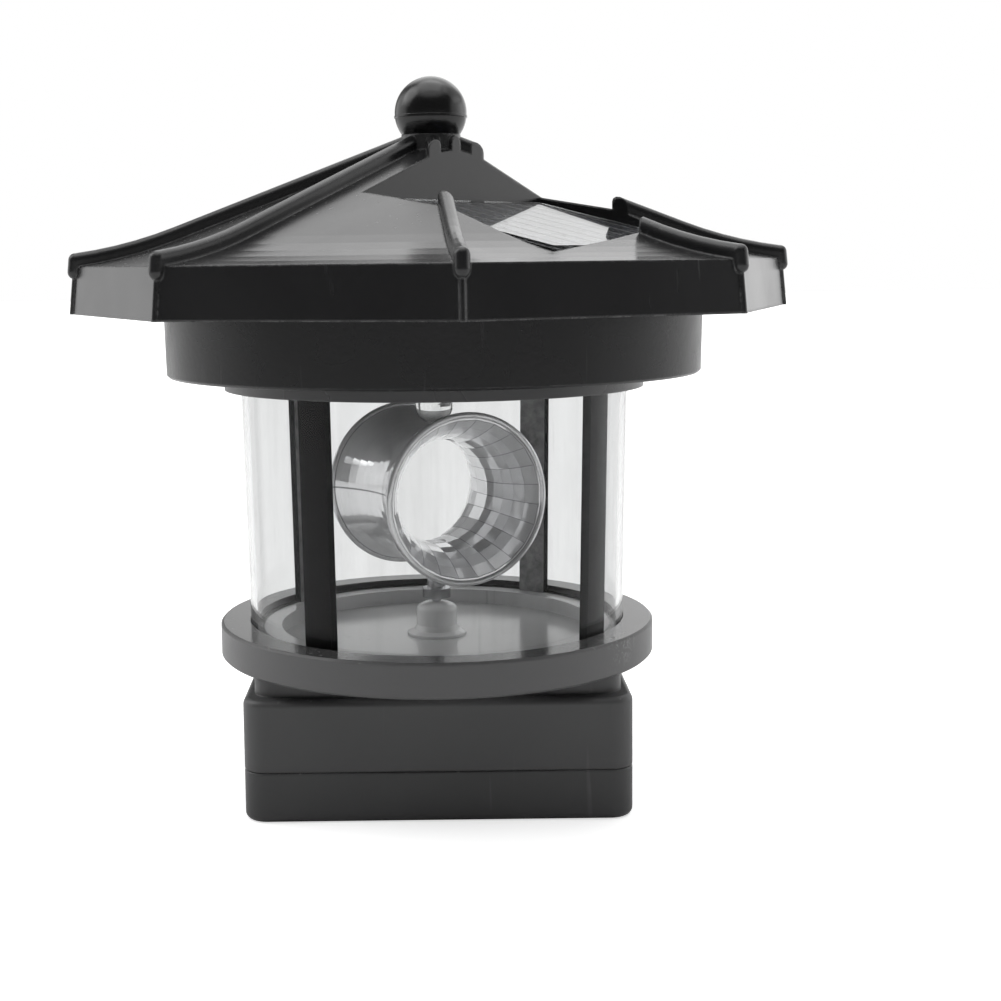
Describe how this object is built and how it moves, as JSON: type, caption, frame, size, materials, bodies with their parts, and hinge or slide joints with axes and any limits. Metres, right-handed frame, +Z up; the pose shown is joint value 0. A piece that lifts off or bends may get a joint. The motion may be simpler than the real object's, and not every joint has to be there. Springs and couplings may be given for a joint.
{
  "type": "garden lighthouse lamp head",
  "caption": "Eight-sided solar lamp head of a garden lighthouse: ribbed roof with sunk panel, clear lantern, turning hourglass reflector and battery box.",
  "frame": {"origin": "middle of the underside of the battery box, on the flat base", "axes": "+Z up, -Y towards the pictured front, +X to the right of that front"},
  "size_m": [0.0958, 0.0958, 0.0943],
  "materials": {
    "satin_black": "satin",
    "gloss_black": "gloss",
    "post_black": "satin",
    "clear_lantern": "clear",
    "clear_cover": "clear",
    "clear_lamp": "clear",
    "mirror_metal": "metallised",
    "solar_cells": "gloss",
    "panel_black": "matte",
    "steel": "brushed",
    "cell_sleeve": "gloss",
    "green_board": "satin",
    "electronics": "matte",
    "switch_knob": "matte",
    "wire_black": "matte"
  },
  "bodies": {
    "housing": {"battery_cell": "cell_sleeve", "battery_leads": "wire_black", "board_parts": "electronics", "box_cover": "satin_black", "box_screws": "steel", "box_shell": "satin_black", "cap_screws": "steel", "circuit_board": "green_board", "contact_plates": "steel", "contact_spring": "steel", "eave_drum": "satin_black", "finial_ball": "satin_black", "gallery_ring": "satin_black", "gallery_screws": "steel", "lamp_leads": "wire_black", "lantern_cap": "satin_black", "lantern_glass": "clear_lantern", "led": "clear_lamp", "led_holder": "satin_black", "motor_can": "steel", "motor_leads": "wire_black", "motor_strap": "steel", "panel_board": "panel_black", "panel_cells": "solar_cells", "panel_cover": "clear_cover", "panel_leads": "wire_black", "post_back_left": "post_black", "post_back_right": "post_black", "post_front_left": "post_black", "post_front_right": "post_black", "roof_shell": "gloss_black", "shaft_bush": "satin_black", "soffit_screws": "steel", "strap_screws": "steel", "switch_body": "steel", "switch_leads": "wire_black"},
    "rotor": {"reflector": "mirror_metal", "reflector_stem": "mirror_metal", "drive_shaft": "steel"},
    "slider": {"switch_slider": "switch_knob"}
  },
  "joints": [
    {"name": "reflector_spin", "type": "hinge", "parent": "housing", "child": "rotor", "pos_m": [0, 0, 0.0225], "axis": [0, 0, 1], "continuous": true},
    {"name": "power_switch", "type": "slide", "parent": "housing", "child": "slider", "axis": [1, 0, 0], "range_m": [0, 0.002]}
  ]
}
